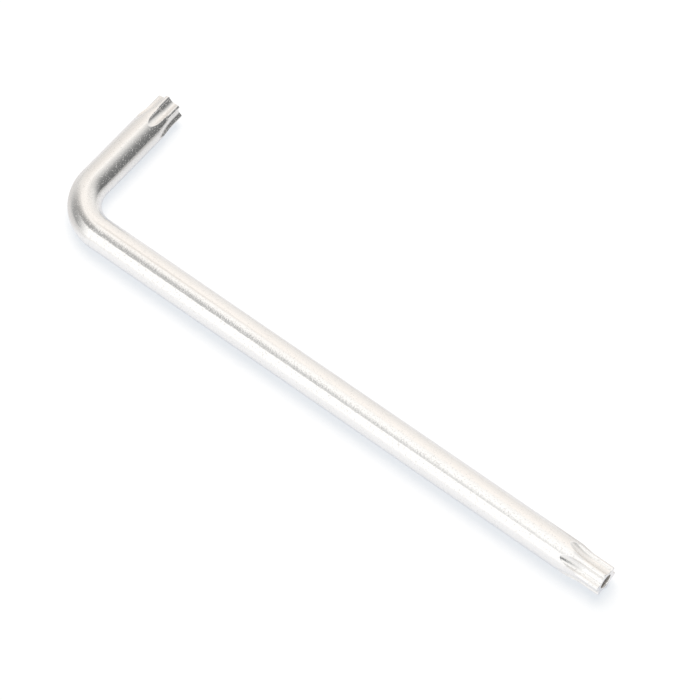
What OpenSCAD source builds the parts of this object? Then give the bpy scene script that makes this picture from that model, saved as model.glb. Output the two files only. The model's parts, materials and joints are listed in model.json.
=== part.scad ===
// Star key: one bent round bar with a six-lobed star forged on both ends.
// It lies flat on Z = 0: long arm along +X, short arm along +Y, all sizes in millimetres.
// The bar is drawn in five zones that meet face to face: two star tips, two arms and the bend.

/* [Bar] */
// Length over the long arm, from the outer side of the short arm to the long tip
long_len = 120; // [80:1:200]
// Length over the short arm, from the outer side of the long arm to the short tip
short_len = 31.3; // [28:0.1:60]
// Radius of the bend, taken at the bar's middle line
bend_r = 7.6; // [5:0.1:9]
// Height of the bar's surface above the crests of the star
crest_step = 0.24; // [0.1:0.02:0.4]

/* [Star] */
// Width across two opposite crests of the star
star_points = 5.52; // [5:0.02:6.4]
// Depth of each flute below the crests
flute_depth = 0.785; // [0.65:0.005:0.9]
// Radius of each crest
lobe_r = 0.45; // [0.3:0.01:0.55]
// Depth to which a flute cuts into the crests beside it, which leaves a fine edge
edge_bite = 0.03; // [0.02:0.005:0.05]
// Full-depth length of the star on the long tip
long_star_len = 3.7; // [1.5:0.1:6]
// Full-depth length of the star on the short tip
short_star_len = 2.5; // [1.5:0.1:4]
// Radius on which each flute runs out to the bar's surface
runout_r = 15; // [10:0.5:20]
// Slope at which the run-out leaves the full-depth flute
runout_slope = 4; // [3:1:8]
// Length of the taper from the crests up to the bar's surface
crest_rise = 4; // [3:0.1:5]
// Turn of the long tip's star, from the top towards the outer side of the bend
long_star_turn = 10; // [0:1:59]
// Turn of the short tip's star, from the top towards the outer side of the bend
short_star_turn = 10; // [0:1:59]
// Bevel round the end of each tip
tip_bevel = 0.12; // [0.05:0.01:0.4]

/* [Pin hole] */
// Diameter of the hole in each end face
hole_d = 2.7; // [2:0.1:2.9]
// Depth of the hole's straight wall
hole_depth = 5; // [3:0.1:7]
// Bevel round the mouth of the hole
hole_bevel = 0.15; // [0.05:0.05:0.25]
// Point angle left by the drill
drill_angle = 118; // [90:1:140]

/* [Zones] */
// Plain round stretch of each tip zone, between the run-out and the arm
plain_len = 2; // [1:0.1:4]

/* [Hidden] */
smooth = 96;
lobes = 6;
lobe_turn = 360 / lobes;
half_turn = lobe_turn / 2;
steel = [0.80, 0.78, 0.74];

crest_r = star_points / 2;
bar_r = crest_r + crest_step;
root_r = crest_r - flute_depth;
hole_r = hole_d / 2;
overrun = bar_r / 4;

// Each flute's arc passes through the root and bites into the crest arcs on both sides
lobe_c = crest_r - lobe_r;
bitten_r = lobe_r - edge_bite;
flute_r = (lobe_c ^ 2 + root_r ^ 2 - 2 * lobe_c * root_r * cos(half_turn) - bitten_r ^ 2)
    / (2 * (bitten_r - root_r + lobe_c * cos(half_turn)));
flute_c = root_r + flute_r;
edge_share = (lobe_r - edge_bite / 2) / (bitten_r + flute_r);
edge_x = lobe_c + edge_share * (flute_c * cos(half_turn) - lobe_c);
edge_y = edge_share * flute_c * sin(half_turn);
edge_r = norm([edge_x, edge_y]);

// The run-out's floor is an arc round a middle outside the bar, a little past the end of the full flute
runout_c = root_r + runout_r * cos(runout_slope);
runout_lead = runout_r * sin(runout_slope);
runout_len = sqrt(runout_r ^ 2 - (runout_c - bar_r) ^ 2) - runout_lead;

// Lengths of the zones, and the corner where the two arms' middle lines cross
long_tip_len = plain_len + runout_len + long_star_len;
short_tip_len = plain_len + runout_len + short_star_len;
long_arm_len = long_len - bar_r - bend_r - long_tip_len;
short_arm_len = short_len - bar_r - bend_r - short_tip_len;
corner_x = bar_r - long_len / 2;
corner_y = bar_r - short_len / 2;

// First crest along +X
module star_section() {
    difference() {
        union() {
            polygon([for (i = [0:lobes - 1], side = [-1, 1])
                let (a = i * lobe_turn)
                [edge_x * cos(a) - side * edge_y * sin(a), edge_x * sin(a) + side * edge_y * cos(a)]]);
            for (i = [0:lobes - 1])
                rotate(i * lobe_turn)
                    translate([lobe_c, 0])
                        circle(r = lobe_r, $fn = smooth);
        }
        for (i = [0:lobes - 1])
            rotate(i * lobe_turn + half_turn)
                translate([flute_c, 0])
                    circle(r = flute_r, $fn = smooth);
    }
}

// The star as long as the tip needs, bevelled at its end face
module star_rod(star_len, tip_len) {
    rod_len = star_len + crest_rise - runout_lead;
    bevel_len = tip_bevel + crest_step;
    intersection() {
        translate([0, 0, tip_len - rod_len])
            linear_extrude(height = rod_len)
                star_section();
        union() {
            cylinder(r = bar_r, h = tip_len - bevel_len, $fn = smooth);
            translate([0, 0, tip_len - bevel_len])
                cylinder(r1 = bar_r, r2 = crest_r - tip_bevel, h = bevel_len, $fn = smooth);
        }
    }
}

// The round bar tapered into the star, with the flutes running out of it
module runout_root(star_len, tip_len) {
    root_len = tip_len - star_len + runout_lead;
    difference() {
        rotate_extrude($fn = smooth)
            polygon([[0, 0], [bar_r, 0], [bar_r, root_len - crest_rise], [edge_r, root_len], [0, root_len]]);
        for (i = [0:lobes - 1])
            rotate(i * lobe_turn + half_turn)
                translate([runout_c, 0, root_len])
                    rotate([90, 0, 0])
                        rotate_extrude($fn = smooth)
                            translate([runout_r - flute_r, 0])
                                circle(r = flute_r, $fn = smooth);
    }
}

module pin_hole(tip_len) {
    point_len = hole_r / tan(drill_angle / 2);
    translate([0, 0, tip_len])
        rotate_extrude($fn = smooth)
            polygon([
                [0, -hole_depth - point_len],
                [hole_r, -hole_depth],
                [hole_r, -hole_bevel],
                [hole_r + hole_bevel + overrun, overrun],
                [0, overrun]
            ]);
}

// Stands on z = 0 with the end face up
module star_tip(star_len, tip_len) {
    difference() {
        union() {
            star_rod(star_len, tip_len);
            runout_root(star_len, tip_len);
        }
        pin_hole(tip_len);
    }
}

module long_star_tip() {
    color(steel)
        translate([corner_x + bend_r + long_arm_len, corner_y, bar_r])
            rotate([long_star_turn, 0, 0])
                rotate([0, 90, 0])
                    rotate(180)
                        star_tip(long_star_len, long_tip_len);
}

module long_arm() {
    color(steel)
        translate([corner_x + bend_r, corner_y, bar_r])
            rotate([0, 90, 0])
                cylinder(r = bar_r, h = long_arm_len, $fn = smooth);
}

module bend() {
    color(steel)
        translate([corner_x + bend_r, corner_y + bend_r, bar_r])
            rotate(180)
                rotate_extrude(angle = 90, $fn = smooth)
                    translate([bend_r, 0])
                        circle(r = bar_r, $fn = smooth);
}

module short_arm() {
    color(steel)
        translate([corner_x, corner_y + bend_r, bar_r])
            rotate([-90, 0, 0])
                cylinder(r = bar_r, h = short_arm_len, $fn = smooth);
}

module short_star_tip() {
    color(steel)
        translate([corner_x, corner_y + bend_r + short_arm_len, bar_r])
            rotate([0, -short_star_turn, 0])
                rotate([-90, 0, 0])
                    rotate(-90)
                        star_tip(short_star_len, short_tip_len);
}

long_star_tip();
long_arm();
bend();
short_arm();
short_star_tip();
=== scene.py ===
import json
import math

import bpy
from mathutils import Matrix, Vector

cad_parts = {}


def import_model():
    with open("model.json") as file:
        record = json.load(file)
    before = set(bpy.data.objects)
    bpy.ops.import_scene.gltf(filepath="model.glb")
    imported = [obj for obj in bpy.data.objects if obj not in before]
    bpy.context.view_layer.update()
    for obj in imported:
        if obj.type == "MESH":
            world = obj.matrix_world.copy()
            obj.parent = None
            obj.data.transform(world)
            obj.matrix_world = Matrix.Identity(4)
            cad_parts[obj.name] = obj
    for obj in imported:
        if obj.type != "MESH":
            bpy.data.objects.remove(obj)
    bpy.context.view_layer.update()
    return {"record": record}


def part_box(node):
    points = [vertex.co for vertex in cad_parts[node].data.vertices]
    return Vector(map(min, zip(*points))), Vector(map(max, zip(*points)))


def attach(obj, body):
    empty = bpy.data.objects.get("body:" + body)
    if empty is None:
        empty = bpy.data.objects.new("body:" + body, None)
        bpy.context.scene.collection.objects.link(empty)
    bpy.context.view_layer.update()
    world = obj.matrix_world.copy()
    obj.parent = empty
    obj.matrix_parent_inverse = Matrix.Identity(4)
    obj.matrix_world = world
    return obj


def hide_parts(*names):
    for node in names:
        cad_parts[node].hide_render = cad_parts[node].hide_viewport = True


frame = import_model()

# Sizes of the key in metres: the frame gives the bar, the zones and the holes, and the star's are set here
MM = 0.001
fits = {mount["name"]: mount["dims"] for mount in frame["record"]["mounts"]}
bar_r = fits["long_shank"]["r_mm"] * MM
hole_r = fits["long_pin_hole"]["r_mm"] * MM
hole_wall = fits["long_pin_hole"]["length_mm"] * MM
crest_step = 0.24 * MM
flute_depth = 0.785 * MM
crest_r = bar_r - crest_step
root_r = crest_r - flute_depth
lobe_r = 0.45 * MM
edge_bite = 0.03 * MM
runout_r = 15 * MM
runout_slope = math.radians(4)
crest_rise = 4 * MM
star_len = {"long_star_tip": 3.7 * MM, "short_star_tip": 2.5 * MM}
star_turn = math.radians(10)
tip_bevel = 0.12 * MM
hole_bevel = 0.15 * MM
drill_angle = math.radians(118)
lobes = 6
half_lobe = math.pi / lobes

# Each flute's arc passes through the root and bites into the crest arcs on both sides
lobe_c = crest_r - lobe_r
bitten_r = lobe_r - edge_bite
flute_r = (lobe_c ** 2 + root_r ** 2 - 2 * lobe_c * root_r * math.cos(half_lobe) - bitten_r ** 2) / (
    2 * (bitten_r - root_r + lobe_c * math.cos(half_lobe)))
flute_c = root_r + flute_r
edge_share = (lobe_r - edge_bite / 2) / (bitten_r + flute_r)
edge_r = math.hypot(lobe_c + edge_share * (flute_c * math.cos(half_lobe) - lobe_c),
                    edge_share * flute_c * math.sin(half_lobe))

# How far edges are softened, and how wide the wear along them is
edge_softness = 0.06 * MM
rim_softness = 0.07 * MM
wear_width = 0.16 * MM

# How finely the meshes are drawn
AROUND = 288
TIP_ROWS = {"back": 2, "side": 176, "rim": 8, "face": 6, "hole bevel": 5, "hole wall": 12, "drill cone": 6}
ARM_STEPS = 24
BEND_STEPS = 128
MERGE_GAP = 0.001 * MM
SHARP_ANGLE = math.radians(40)

X_AXIS, Y_AXIS, Z_AXIS = Vector((1, 0, 0)), Vector((0, 1, 0)), Vector((0, 0, 1))
WHITE = (1.0, 1.0, 1.0, 1.0)
BLACK = (0.0, 0.0, 0.0, 1.0)


class Wire:
    """A node's output. Sums and comparisons of wires and numbers add Math nodes to its tree."""

    def __init__(self, socket):
        self.socket = socket

    def out(self, name):
        return Wire(self.socket.node.outputs[name])

    def math(self, operation, *others, first=None):
        values = [self, *others] if first is None else [first, self]
        return add(self.socket.id_data, "ShaderNodeMath", {"operation": operation}, values)

    def __add__(self, other):
        return self.math("ADD", other)

    def __radd__(self, other):
        return self.math("ADD", first=other)

    def __sub__(self, other):
        return self.math("SUBTRACT", other)

    def __rsub__(self, other):
        return self.math("SUBTRACT", first=other)

    def __mul__(self, other):
        return self.math("MULTIPLY", other)

    def __rmul__(self, other):
        return self.math("MULTIPLY", first=other)

    def __truediv__(self, other):
        return self.math("DIVIDE", other)

    def __rtruediv__(self, other):
        return self.math("DIVIDE", first=other)

    def __gt__(self, other):
        return self.math("GREATER_THAN", other)

    def __lt__(self, other):
        return self.math("LESS_THAN", other)

    def root(self):
        return self.math("MAXIMUM", 0.0).math("SQRT")

    def cos(self):
        return self.math("COSINE")

    def sin(self):
        return self.math("SINE")

    def exp(self):
        return self.math("EXPONENT")

    def least(self, other):
        return self.math("MINIMUM", other)

    def most(self, other):
        return self.math("MAXIMUM", other)

    def within(self):
        return self.math("MAXIMUM", 0.0).math("MINIMUM", 1.0)

    def rise(self, low, high):
        """0 up to a low value, 1 from a high one, and a smooth step between them."""
        return add(self.socket.id_data, "ShaderNodeMapRange", {"interpolation_type": "SMOOTHSTEP"}, {
            "Value": self, "From Min": low, "From Max": high})


def add(tree, kind, settings=None, sockets=(), output=0):
    """Adds a node: its settings first, then its sockets' values or wires. Returns one of its outputs."""
    node = tree.nodes.new(kind)
    for key, value in (settings or {}).items():
        setattr(node, key, value)
    for key, value in sockets.items() if isinstance(sockets, dict) else enumerate(sockets):
        if isinstance(value, Wire):
            tree.links.new(value.socket, node.inputs[key])
        else:
            node.inputs[key].default_value = value
    return Wire(node.outputs[output]) if node.outputs else None


def blended(tree, share, first, second):
    """A colour that goes from the first to the second as the share goes from 0 to 1."""
    share_in, first_in, second_in, colour_out = 0, 6, 7, 2
    return add(tree, "ShaderNodeMix", {"data_type": "RGBA"}, {
        share_in: share, first_in: first, second_in: second}, output=colour_out)


def scaled(tree, direction, amount):
    return add(tree, "ShaderNodeVectorMath", {"operation": "SCALE"}, {"Vector": direction, "Scale": amount})


def summed(tree, first, second):
    return add(tree, "ShaderNodeVectorMath", {"operation": "ADD"}, [first, second])


def new_tree(name, sizes, directions=()):
    """An empty tree for one kind of piece, and its inputs by name."""
    tree = bpy.data.node_groups.new(name, "GeometryNodeTree")
    tree.interface.new_socket("Geometry", in_out="OUTPUT", socket_type="NodeSocketGeometry")
    for label in sizes:
        tree.interface.new_socket(label, in_out="INPUT", socket_type="NodeSocketFloat")
    for label in directions:
        tree.interface.new_socket(label, in_out="INPUT", socket_type="NodeSocketVector")
    inputs = tree.nodes.new("NodeGroupInput")
    return tree, {label: Wire(inputs.outputs[label]) for label in (*sizes, *directions)}


def end_tree(tree, shape, material):
    """Smooths the shape except at its sharp corners, gives it its finish and sends it out."""
    corner = add(tree, "GeometryNodeInputMeshEdgeAngle") > SHARP_ANGLE
    shape = add(tree, "GeometryNodeSetShadeSmooth", {"domain": "FACE"},
                {"Geometry": shape, "Shade Smooth": True})
    shape = add(tree, "GeometryNodeSetShadeSmooth", {"domain": "EDGE"},
                {"Geometry": shape, "Selection": corner, "Shade Smooth": False})
    shape = add(tree, "GeometryNodeRealizeInstances", {}, {"Geometry": shape})
    shape = add(tree, "GeometryNodeSetMaterial", {}, {"Geometry": shape, "Material": material})
    tree.links.new(shape.socket, tree.nodes.new("NodeGroupOutput").inputs[0])
    return tree


def grow(name, tree, sizes):
    """Runs a tree at these sizes and keeps what it makes as a plain mesh."""
    piece = bpy.data.objects.new(name, bpy.data.meshes.new(name))
    bpy.context.scene.collection.objects.link(piece)
    modifier = piece.modifiers.new("grow", "NODES")
    modifier.node_group = tree
    for item in tree.interface.items_tree:
        if item.in_out == "INPUT":
            modifier[item.identifier] = sizes[item.name]
    made = bpy.data.meshes.new_from_object(piece.evaluated_get(bpy.context.evaluated_depsgraph_get()))
    piece.modifiers.clear()
    empty = piece.data
    piece.data = made
    bpy.data.meshes.remove(empty)
    made.name = name
    return piece


def star_tip_tree(material):
    """A bar end that runs into a six-lobed star with a drilled hole, made of rings along its profile."""
    tree, size = new_tree("star_tip", [
        "Tip length", "Star length", "Bar radius", "Crest radius", "Root radius", "Lobe radius",
        "Flute radius", "Edge radius", "Run-out radius", "Run-out slope", "Crest rise", "Tip bevel",
        "Hole radius", "Hole wall", "Hole bevel", "Drill point",
        "Edge softness", "Rim softness", "Wear width",
    ], ["Start", "Axis", "Crest", "Side"])
    tip_len = size["Tip length"]
    bar = size["Bar radius"]
    lobe_arc_r = size["Lobe radius"]
    flute_arc_r = size["Flute radius"]
    runout_arc_r = size["Run-out radius"]
    softness = size["Edge softness"]
    rim_round = size["Rim softness"]
    mouth_bevel = size["Hole bevel"]

    # Every sheet starts as a unit grid round the origin: X runs along the profile, Y runs round the bar
    half_grid = 0.5
    grid_spot = add(tree, "ShaderNodeSeparateXYZ", {}, [add(tree, "GeometryNodeInputPosition")])
    share = grid_spot + half_grid
    turn = (grid_spot.out("Y") + half_grid) * (2 * math.pi)

    from_crest = turn.math("PINGPONG", half_lobe)
    from_flute = half_lobe - from_crest
    lobe_middle = size["Crest radius"] - lobe_arc_r
    flute_middle = size["Root radius"] + flute_arc_r

    def flute(middle):
        """Distance out to a flute's arc, or past the bar where a flute isn't met."""
        reach = middle * from_flute.sin()
        missed = (reach > flute_arc_r) * bar
        arc = (flute_arc_r * flute_arc_r - reach * reach).root()
        return middle * from_flute.cos() - arc + missed

    lobe_reach = lobe_middle * from_crest.sin()
    past_lobe = lobe_reach > lobe_arc_r
    lobe_arc = (lobe_arc_r * lobe_arc_r - lobe_reach * lobe_reach).root()
    lobe = (lobe_middle * from_crest.cos() + lobe_arc) * (1.0 - past_lobe)
    star = (lobe + past_lobe * bar).math("SMOOTH_MIN", flute(flute_middle), softness)

    root_len = tip_len - size["Star length"] + runout_arc_r * size["Run-out slope"].sin()
    side_len = tip_len - rim_round
    height = share * side_len

    def near(first, second):
        """1 on the edge where two surfaces meet, falling to 0 beside it."""
        return (1.0 - (first - second).math("ABSOLUTE") / size["Wear width"]).within()

    def skin(level):
        """Distance out to the surface at a height along the tip, how worn it is there, and how much painted
        shade the flute walls get there.
        """
        below = (root_len - level).most(0.0)
        floor_middle = size["Root radius"] + runout_arc_r * size["Run-out slope"].cos()
        floor = floor_middle - (runout_arc_r * runout_arc_r - below * below).root()
        taper = size["Edge radius"] + below * (bar - size["Edge radius"]) / size["Crest rise"]
        blank = taper.math("SMOOTH_MIN", bar, softness)
        groove = flute(floor + flute_arc_r)
        runout = blank.math("SMOOTH_MIN", groove, softness)
        body = runout.math("SMOOTH_MAX", star, softness)
        bevel = size["Crest radius"] - size["Tip bevel"] + (tip_len - level)
        worn = near(blank.most(lobe), groove).most(near(body, bevel))
        # Painted shade on the flute walls: inside the flutes, strongest towards their edges
        wall = (floor + flute_arc_r) * from_flute.sin() / flute_arc_r
        painted_flute_shade = (groove < blank.most(lobe)) * wall * wall
        return body.math("SMOOTH_MIN", bevel, softness).least(bar), worn, painted_flute_shade

    def ring_sheet(part, radius, level, marks=None):
        """One ring of the skin, from its distance out and its height, with marks for the finish and for the
        painted shade.
        """
        sheet = add(tree, "GeometryNodeMeshGrid", {}, {
            "Size X": 1.0, "Size Y": 1.0, "Vertices X": TIP_ROWS[part], "Vertices Y": AROUND + 1})
        for name, amount in (marks or {}).items():
            sheet = add(tree, "GeometryNodeStoreNamedAttribute", {"data_type": "FLOAT", "domain": "POINT"},
                        {"Geometry": sheet, "Name": name, "Value": amount})
        spot = summed(tree, size["Start"], scaled(tree, size["Axis"], level))
        spot = summed(tree, spot, scaled(tree, size["Crest"], radius * turn.cos()))
        spot = summed(tree, spot, scaled(tree, size["Side"], radius * turn.sin() * -1.0))
        return add(tree, "GeometryNodeSetPosition", {}, {"Geometry": sheet, "Position": spot})

    rim, rim_worn = skin(side_len)[:2]
    side, side_worn, side_painted_flute_shade = skin(height)
    quarter = share * (math.pi / 2)
    rim_in = rim - rim_round
    mouth = size["Hole radius"] + mouth_bevel
    wall_start = tip_len - mouth_bevel
    wall_end = wall_start - size["Hole wall"]
    sheets = [
        ring_sheet("back", bar * share, 0.0),
        ring_sheet("side", side, height, {"worn": side_worn, "painted_flute_shade": side_painted_flute_shade}),
        ring_sheet("rim", rim_in + rim_round * quarter.cos(), side_len + rim_round * quarter.sin(),
                   {"worn": rim_worn}),
        ring_sheet("face", rim_in + (mouth - rim_in) * share, tip_len),
        ring_sheet("hole bevel", mouth - mouth_bevel * quarter.sin(),
                   tip_len - mouth_bevel * (1.0 - quarter.cos())),
        ring_sheet("hole wall", size["Hole radius"], wall_start - size["Hole wall"] * share,
                   {"drilled": 1.0}),
        ring_sheet("drill cone", size["Hole radius"] * (1.0 - share),
                   wall_end - size["Drill point"] * share, {"drilled": 1.0}),
    ]
    joined = add(tree, "GeometryNodeJoinGeometry")
    for sheet in sheets:
        tree.links.new(sheet.socket, joined.socket.node.inputs[0])
    closed = add(tree, "GeometryNodeMergeByDistance", {}, {"Geometry": joined, "Distance": MERGE_GAP})
    return end_tree(tree, closed, material)


def swept_bar(tree, path, radius):
    """A round bar along a path, closed at both ends."""
    ring = add(tree, "GeometryNodeCurvePrimitiveCircle", {}, {"Resolution": AROUND, "Radius": radius})
    return add(tree, "GeometryNodeCurveToMesh", {},
               {"Curve": path, "Profile Curve": ring, "Fill Caps": True})


def arm_tree(material):
    """A straight round bar between two points."""
    tree, size = new_tree("arm", ["Bar radius"], ["Start", "End"])
    line = add(tree, "GeometryNodeCurvePrimitiveLine", {}, {"Start": size["Start"], "End": size["End"]})
    path = add(tree, "GeometryNodeResampleCurve", {}, {"Curve": line, "Count": ARM_STEPS})
    return end_tree(tree, swept_bar(tree, path, size["Bar radius"]), material)


def bend_tree(material):
    """A quarter turn of round bar about a middle point."""
    tree, size = new_tree("bend", ["Bar radius", "Bend radius"], ["Middle"])
    arc = add(tree, "GeometryNodeCurveArc", {}, {
        "Resolution": BEND_STEPS, "Radius": size["Bend radius"],
        "Start Angle": math.pi, "Sweep Angle": math.pi / 2})
    path = add(tree, "GeometryNodeSetPosition", {}, {"Geometry": arc, "Offset": size["Middle"]})
    return end_tree(tree, swept_bar(tree, path, size["Bar radius"]), material)


def bare_material(name):
    """A new material, and its tree with nothing in it."""
    material = bpy.data.materials.new(name)
    material.use_nodes = True
    material.node_tree.nodes.clear()
    return material, material.node_tree


def satin_nickel():
    """Satin nickel plate: grain, specks, waves, pits, staining, bright worn edges, a dull drilled hole,
    painted shade on the flute walls and a painted dark reflection line along the long arm.
    """
    pale_plate = (0.965, 0.955, 0.935, 1.0)
    warm_plate = (0.930, 0.912, 0.882, 1.0)
    # A darker colour: real tarnish on pits and in the drilled hole, and painted shade and a painted
    # reflection line
    tarnish_and_shade = (0.62, 0.58, 0.53, 1.0)
    polished = (0.975, 0.97, 0.96, 1.0)
    noise_middle = 0.5
    speck_fade = (0.60, 0.72)
    pits_per_mm, pit_reach, pit_steepness = 1.1, 0.13, 14.0
    reflection_line_width = 0.20 * MM
    reflection_line_start, reflection_line_end = (-0.04, 0.03), (0.16, 0.46)
    wear_bias, wear_fade = 0.4, (0.25, 0.75)
    flute_shade_fade = (0.18, 0.42)
    plain_tone = 0.30
    tone_by = {"stain": 0.7, "specks": 0.18}
    plain_rough = 0.12
    rough_by = {"specks": 0.34, "flute shade": 0.06, "wear": 0.03, "stain": 0.08, "pits": 0.04, "drill": 0.30}
    # Shares of the darker colour: real tarnish for the pits and the drilled hole, painted shade for the
    # flute walls, painted reflection for the line
    tarnish_and_shade_by = {"pits": 0.06, "flute shade": 0.12, "line": 0.30, "drill": 0.45}
    polish_by_wear = 0.8
    relief_by = {"grain": 2.6, "waves": 2.2, "pits": 0.8}
    relief_height = 0.004 * MM

    material, tree = bare_material("satin_nickel_plate")
    spot = add(tree, "ShaderNodeTexCoord").out("Object")

    def noise(per_mm, detail):
        return add(tree, "ShaderNodeTexNoise", {}, {"Vector": spot, "Scale": per_mm / MM, "Detail": detail})

    def mark(name):
        return add(tree, "ShaderNodeAttribute", {"attribute_name": name}).out("Fac")

    grain = noise(per_mm=3.4, detail=1.0)
    specks = noise(per_mm=4.2, detail=0.0).rise(*speck_fade)
    waves = noise(per_mm=0.7, detail=1.0)
    stain = noise(per_mm=0.12, detail=3.0) - noise_middle
    pit_field = add(tree, "ShaderNodeTexVoronoi", {"feature": "F1"},
                    {"Vector": spot, "Scale": pits_per_mm / MM})
    pits = ((pit_reach - pit_field) * pit_steepness).within()

    # A faint painted dark reflection line runs along the top of the long arm and fades out before its middle
    low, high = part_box("long_arm")
    place = add(tree, "ShaderNodeSeparateXYZ", {}, [spot])
    aside = (place.out("Y") - (low.y + high.y) / 2) / reflection_line_width
    along = (place - low.x) / (high.x - low.x)
    line = (aside * aside * -1.0).exp() * (place.out("Z") > bar_r)
    line = line * along.rise(*reflection_line_start) * (1.0 - along.rise(*reflection_line_end))

    worn = (mark("worn") * (noise(per_mm=2.2, detail=2.0) + wear_bias)).rise(*wear_fade)
    # Painted shade on the flute walls, left off where the edges are worn
    painted_flute_shade = mark("painted_flute_shade").rise(*flute_shade_fade) * (1.0 - worn)
    drilled = mark("drilled")

    tone = (plain_tone + stain * tone_by["stain"] + specks * tone_by["specks"]).within()
    # How much of the darker colour: real tarnish, painted shade on the flute walls and the painted
    # reflection line
    tarnish_and_shade_share = (pits * tarnish_and_shade_by["pits"]).most(painted_flute_shade * tarnish_and_shade_by["flute shade"])
    tarnish_and_shade_share = tarnish_and_shade_share.most(line * tarnish_and_shade_by["line"]).most(drilled * tarnish_and_shade_by["drill"])
    colour = blended(tree, tone, pale_plate, warm_plate)
    colour = blended(tree, tarnish_and_shade_share, colour, tarnish_and_shade)
    colour = blended(tree, worn * polish_by_wear, colour, polished)

    rough = plain_rough + specks * (1.0 - worn) * rough_by["specks"] + painted_flute_shade * rough_by["flute shade"]
    rough = rough - worn * rough_by["wear"] + stain * rough_by["stain"] + pits * rough_by["pits"]
    rough = rough + drilled * rough_by["drill"]
    relief = grain * relief_by["grain"] + waves * relief_by["waves"] - pits * relief_by["pits"]
    bump = add(tree, "ShaderNodeBump", {}, {"Strength": 1.0, "Distance": relief_height, "Height": relief})
    shader = add(tree, "ShaderNodeBsdfPrincipled", {}, {
        "Base Color": colour, "Metallic": 1.0, "Roughness": rough, "Normal": bump})
    add(tree, "ShaderNodeOutputMaterial", {}, {"Surface": shader})
    return material


nickel = satin_nickel()
tip_tree = star_tip_tree(nickel)
round_arm_tree = arm_tree(nickel)
round_bend_tree = bend_tree(nickel)


def straight_zone(node, axis):
    """Where a straight zone begins on the bar's middle line, and its length along its axis."""
    low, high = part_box(node)
    length = (high - low).dot(axis)
    return (low + high) / 2 - axis * length / 2, length


def make_star_tip(node, axis):
    """The star tip for one of the two end zones, its crest turned from the top to the bend's outer side."""
    outer = -X_AXIS if axis == Y_AXIS else -Y_AXIS
    crest = Z_AXIS * math.cos(star_turn) + outer * math.sin(star_turn)
    start, length = straight_zone(node, axis)
    return grow(node + "_plated", tip_tree, {
        "Tip length": length, "Star length": star_len[node], "Bar radius": bar_r,
        "Crest radius": crest_r, "Root radius": root_r, "Lobe radius": lobe_r, "Flute radius": flute_r,
        "Edge radius": edge_r, "Run-out radius": runout_r, "Run-out slope": runout_slope,
        "Crest rise": crest_rise, "Tip bevel": tip_bevel, "Hole radius": hole_r, "Hole wall": hole_wall,
        "Hole bevel": hole_bevel, "Drill point": hole_r / math.tan(drill_angle / 2),
        "Edge softness": edge_softness, "Rim softness": rim_softness, "Wear width": wear_width,
        "Start": start, "Axis": axis, "Crest": crest, "Side": axis.cross(crest)})


def make_arm(node, axis):
    start, length = straight_zone(node, axis)
    return grow(node + "_plated", round_arm_tree, {
        "Bar radius": bar_r, "Start": start, "End": start + axis * length})


def make_bend(node):
    low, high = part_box(node)
    middle = Vector((high.x, high.y, (low.z + high.z) / 2))
    return grow(node + "_plated", round_bend_tree, {
        "Bar radius": bar_r, "Bend radius": high.x - low.x - bar_r, "Middle": middle})


pieces = {
    "long_star_tip": make_star_tip("long_star_tip", X_AXIS),
    "long_arm": make_arm("long_arm", X_AXIS),
    "bend": make_bend("bend"),
    "short_arm": make_arm("short_arm", Y_AXIS),
    "short_star_tip": make_star_tip("short_star_tip", Y_AXIS),
}
for node, piece in pieces.items():
    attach(piece, "root")
    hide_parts(node)


def light_path(tree):
    """Two switches: 1 for rays from the camera, and 1 for those and for mirrored or see-through rays."""
    path = add(tree, "ShaderNodeLightPath")
    seen = path.out("Is Camera Ray") + path.out("Is Glossy Ray") + path.out("Is Transmission Ray")
    return path.out("Is Camera Ray"), seen.within()


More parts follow.
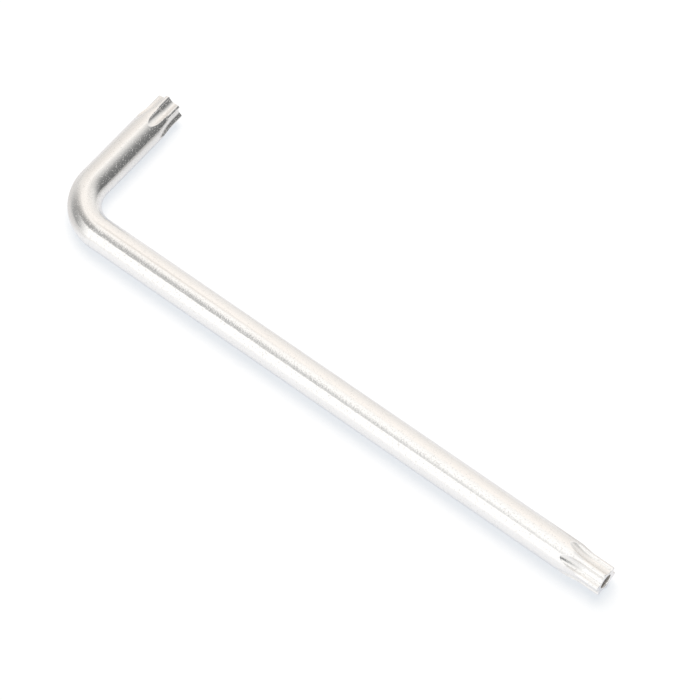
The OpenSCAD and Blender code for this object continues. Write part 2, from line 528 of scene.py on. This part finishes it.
def white_floor():
    """A large pale sheet under the key. It keeps the key's soft shadow and shows white around it."""
    half_width = 3.0
    paper_colour = (0.44, 0.39, 0.33, 1.0)
    mirrored_front = (0.475, 0.535, 0.63, 1.0)
    mirrored_behind = (0.385, 0.435, 0.515, 1.0)
    shown_near = (0.60, 0.65, 0.71, 1.0)
    sheen_rough = 0.3
    paper_ior = 1.5
    loss_of = {"far left": 0.13, "by bend": 0.32, "between arms": 0.42, "by long tip": 0.35}

    material, tree = bare_material("white_floor")
    camera_ray, seen = light_path(tree)
    spot = add(tree, "ShaderNodeSeparateXYZ", {}, [add(tree, "ShaderNodeTexCoord").out("Object")])
    x, y = spot.out("X"), spot.out("Y")

    def after(place, gone, full):
        """0 before the first place and 1 after the second, both in millimetres."""
        return place.rise(gone * MM, full * MM)

    def before(place, full, gone):
        """1 before the first place and 0 after the second, both in millimetres."""
        return 1.0 - place.rise(full * MM, gone * MM)

    # Painted shadows on the floor that the plate mirrors: places where it is dimmer, each with the share of
    # light that it loses
    far_left = before(x, -90, -64) * loss_of["far left"]
    by_bend = before(x, -62, -54) * before(y, -6, 2) * loss_of["by bend"]
    between_arms = after(x, -46, -30) * before(x, 0, 20) * after(y, 2, 10) * before(y, 16, 24)
    between_arms = between_arms * loss_of["between arms"]
    by_long_tip = after(x, 42, 48) * after(y, -10, -6) * before(y, 4, 12) * loss_of["by long tip"]
    painted_floor_shade = far_left.most(by_bend).most(between_arms).most(by_long_tip)

    # Painted light: the floor that the plate mirrors is lighter in front than behind
    mirrored = blended(tree, after(y, -30, 10), mirrored_front, mirrored_behind)
    # The painted shadows darken the floor that the plate mirrors
    mirrored = blended(tree, painted_floor_shade, mirrored, BLACK)
    shown = blended(tree, after((x * x + y * y).root(), 150, 450), shown_near, WHITE)
    glow_colour = blended(tree, camera_ray, mirrored, shown)
    glow = add(tree, "ShaderNodeEmission", {}, {"Color": glow_colour, "Strength": seen})
    paper = add(tree, "ShaderNodeBsdfDiffuse", {}, {"Color": paper_colour})
    matt = add(tree, "ShaderNodeAddShader", {}, [paper, glow])
    gloss = add(tree, "ShaderNodeBsdfGlossy", {}, {"Color": WHITE, "Roughness": sheen_rough})
    grazing = add(tree, "ShaderNodeFresnel", {}, {"IOR": paper_ior}) * (1.0 - camera_ray)
    sheet = add(tree, "ShaderNodeMixShader", {}, [grazing, matt, gloss])
    add(tree, "ShaderNodeOutputMaterial", {}, {"Surface": sheet})

    corners = [(-half_width, -half_width, 0), (half_width, -half_width, 0),
               (half_width, half_width, 0), (-half_width, half_width, 0)]
    mesh = bpy.data.meshes.new("white_floor")
    mesh.from_pydata(corners, [], [(0, 1, 2, 3)])
    mesh.materials.append(material)
    floor = bpy.data.objects.new("white_floor", mesh)
    bpy.context.scene.collection.objects.link(floor)


def towards(azimuth, elevation):
    """A direction by its angle round from +X and its angle above the floor, in degrees."""
    a, e = math.radians(azimuth), math.radians(elevation)
    return Vector((math.cos(a) * math.cos(e), math.sin(a) * math.cos(e), math.sin(e)))


def studio_world():
    """A white tent with dim places for the plate to mirror. It lights evenly and shows white behind."""
    tent_light = 1.36
    brightest, front_lift = 1.13, 0.17
    room_light = 0.42
    dim_tint = (0.96, 0.98, 1.0, 1.0)
    warm_tint = (1.045, 0.995, 0.955, 1.0)
    loss_of = {"right": 0.84, "left": 0.10, "left gap": 0.64,
               "front right": 0.20, "back": 0.06, "seam": 0.10}
    far_gap_share = 0.44
    front_tilt, front_coolness = 0.455, 0.8
    seam_place, seam_sharpness = 0.393, 130.0

    world = bpy.data.worlds.new("studio")
    world.use_nodes = True
    bpy.context.scene.world = world
    tree = world.node_tree
    tree.nodes.clear()
    camera_ray, seen = light_path(tree)
    look = add(tree, "ShaderNodeTexCoord").out("Generated")

    def facing(direction):
        """How far the look agrees with a direction: 1 along it, 0 across it, -1 against it."""
        return add(tree, "ShaderNodeVectorMath", {"operation": "DOT_PRODUCT"},
                   {0: look, 1: direction}).out("Value")

    def side(direction, gone, full):
        """A side of the tent that fades in between two values of facing."""
        return facing(direction).rise(gone, full)

    def patch(azimuth, elevation, sharpness, strength=1.0):
        """A soft round patch with its strength at its middle, smaller the sharper it is."""
        return ((facing(towards(azimuth, elevation)) - 1.0) * sharpness).exp() * strength

    # Dim places of the tent, each with the share of light that it takes away
    lit_back = patch(80, 30, sharpness=14.0, strength=0.7)
    dim_right = side(towards(-7, 3), -0.36, 0.78) * side(Y_AXIS, -0.10, 0.30) * loss_of["right"]
    dim_right = dim_right * (1.0 - lit_back)
    left_gap = side(towards(193, -22), -0.05, 0.05) * side(towards(234, 30), 0.40, 0.85)
    left_gap = left_gap * (far_gap_share + side(-X_AXIS, 0.22, 0.44) * (1.0 - far_gap_share))
    left_gap = left_gap * loss_of["left gap"]
    front_panel = side(towards(251, -39), 0.0, 0.065) * side(X_AXIS, -0.86, -0.44)
    dim_left = (side(-X_AXIS, 0.45, 0.85) * loss_of["left"]).most(left_gap * (1.0 - front_panel))
    front_gap = patch(-55, 44, sharpness=26.0, strength=0.80)
    low_back = patch(139, -26, sharpness=0.7, strength=0.42)
    front_right = side(X_AXIS, -0.22, 0.02) * side(-Y_AXIS, 0.0, 0.5) * loss_of["front right"]
    low_right = patch(40, 4, sharpness=40.0, strength=0.20)
    dim_back = side(Y_AXIS, 0.50, 0.80) * side(X_AXIS, -0.36, -0.24) * loss_of["back"]
    low_left = patch(178, 3, sharpness=20.0, strength=0.16)
    high_back = patch(87, 67, sharpness=30.0, strength=0.09)
    high_left = patch(176, 50, sharpness=40.0, strength=0.06)
    dim_places = [dim_right, dim_left, front_gap, low_back, front_right,
                  low_right, dim_back, low_left, high_back, high_left]
    level = tent_light
    for dim_place in dim_places:
        level = level * (1.0 - dim_place)

    # The front may be a little brighter than the rest, and a faint dark seam runs down the left of the roof
    bright_front = side(Z_AXIS * front_tilt - Y_AXIS, -0.02, 0.08) * side(X_AXIS, -0.40, -0.32)
    off_seam = facing(Y_AXIS) - seam_place
    seam = (off_seam * off_seam * -seam_sharpness).exp() * (1.0 - side(X_AXIS, -0.345, -0.285))
    seam = seam * side(Z_AXIS, 0.25, 0.65) * loss_of["seam"]
    level = level.least(brightest + bright_front * front_lift) * (1.0 - seam)

    tint = blended(tree, level.within(), dim_tint, WHITE)
    warmth = patch(132, 40, sharpness=3.0) * (1.0 - bright_front * front_coolness)
    tint = blended(tree, warmth, tint, warm_tint)
    shown = blended(tree, camera_ray, tint, WHITE)
    strength = camera_ray + (1.0 - camera_ray) * level
    mirrored = add(tree, "ShaderNodeBackground", {}, {"Color": shown, "Strength": strength})
    lighting = add(tree, "ShaderNodeBackground", {}, {"Color": WHITE, "Strength": room_light})
    surface = add(tree, "ShaderNodeMixShader", {}, [seen, lighting, mirrored])
    add(tree, "ShaderNodeOutputWorld", {}, {"Surface": surface})


def soft_lamp(name, place, width, power):
    """A round lamp that faces the middle of the key and isn't mirrored by the plate."""
    lamp = bpy.data.lights.new(name, "AREA")
    lamp.shape = "DISK"
    lamp.size = width
    lamp.energy = power
    holder = bpy.data.objects.new(name, lamp)
    holder.location = place
    holder.rotation_euler = (-place).to_track_quat("-Z", "Y").to_euler()
    holder.visible_glossy = False
    bpy.context.scene.collection.objects.link(holder)


def photo_camera():
    """The photograph's camera: a long lens that looks down on the key from the right of its long arm."""
    view_angle = math.radians(10.0)
    aimed_at = Vector((-0.78, -4.04, 3.0)) * MM
    distance = 683 * MM
    back = towards(azimuth=-51.57, elevation=59.17)

    lens = bpy.data.cameras.new("photo_camera")
    lens.angle = view_angle
    camera = bpy.data.objects.new("photo_camera", lens)
    camera.location = aimed_at + back * distance
    camera.rotation_euler = back.to_track_quat("Z", "Y").to_euler()
    bpy.context.scene.collection.objects.link(camera)
    bpy.context.scene.camera = camera


bpy.context.scene.view_settings.view_transform = "Standard"
white_floor()
studio_world()
soft_lamp("key_lamp", place=Vector((-0.20, 0.23, 0.85)), width=0.80, power=6.2)
photo_camera()
